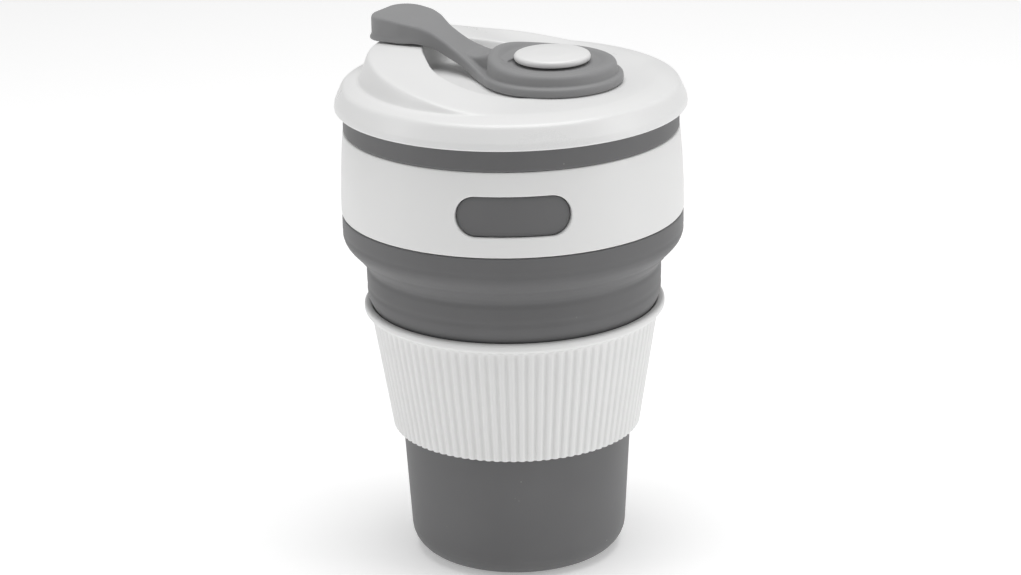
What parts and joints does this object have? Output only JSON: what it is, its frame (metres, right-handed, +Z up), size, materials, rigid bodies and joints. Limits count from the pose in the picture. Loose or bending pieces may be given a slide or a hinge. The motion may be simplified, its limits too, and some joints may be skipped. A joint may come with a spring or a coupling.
{
  "type": "collapsible travel cup",
  "caption": "Folding silicone travel cup with a white collar ring, ribbed grip sleeve and press-on sip lid with a swivelling silicone stopper.",
  "frame": {"origin": "centre of the foot, on the surface the cup stands on", "axes": "+Z up along the cup's axis; -Y through the pill window of the collar; the spout points 149 degrees round from +X"},
  "size_m": [0.093, 0.093, 0.145],
  "materials": {
    "silicone": "matte grey silicone",
    "stopper_silicone": "matte grey silicone",
    "white_plastic": "satin white polypropylene"
  },
  "bodies": {
    "base": {"base_cup": "silicone", "fold_wall": "silicone"},
    "upper": {"upper_cup": "silicone", "collar_ring": "white_plastic"},
    "sleeve": {"sleeve": "white_plastic"},
    "lid": {"lid_shell": "white_plastic", "pivot_button": "white_plastic"},
    "stopper": {"stopper_hub": "stopper_silicone"},
    "arm": {"stopper_arm": "stopper_silicone", "stopper_bung": "stopper_silicone"}
  },
  "joints": [
    {"name": "cup_collapse", "type": "slide", "parent": "base", "child": "upper", "axis": [0, 0, 1], "range_m": [-0.045, 0], "deforming": ["fold_wall"]},
    {"name": "sleeve_slide", "type": "slide", "parent": "base", "child": "sleeve", "axis": [0, 0, 1], "range_m": [-0.0352, 0]},
    {"name": "lid_lift", "type": "slide", "parent": "upper", "child": "lid", "axis": [0, 0, 1], "range_m": [0, 0.05]},
    {"name": "stopper_swivel", "type": "hinge", "parent": "lid", "child": "stopper", "pos_m": [0.01097, -0.00659, 0.1312], "axis": [0, 0, 1], "range_deg": [-100, 100], "deforming": ["stopper_bung"]},
    {"name": "stopper_flex", "type": "hinge", "parent": "stopper", "child": "arm", "pos_m": [-0.0066, 0.00397, 0.136], "axis": [0.515, 0.8572, 0], "range_deg": [0, 90]}
  ],
  "couplings": [
    {"joint": "sleeve_slide", "follows": "cup_collapse", "ratio": 0.782}
  ]
}
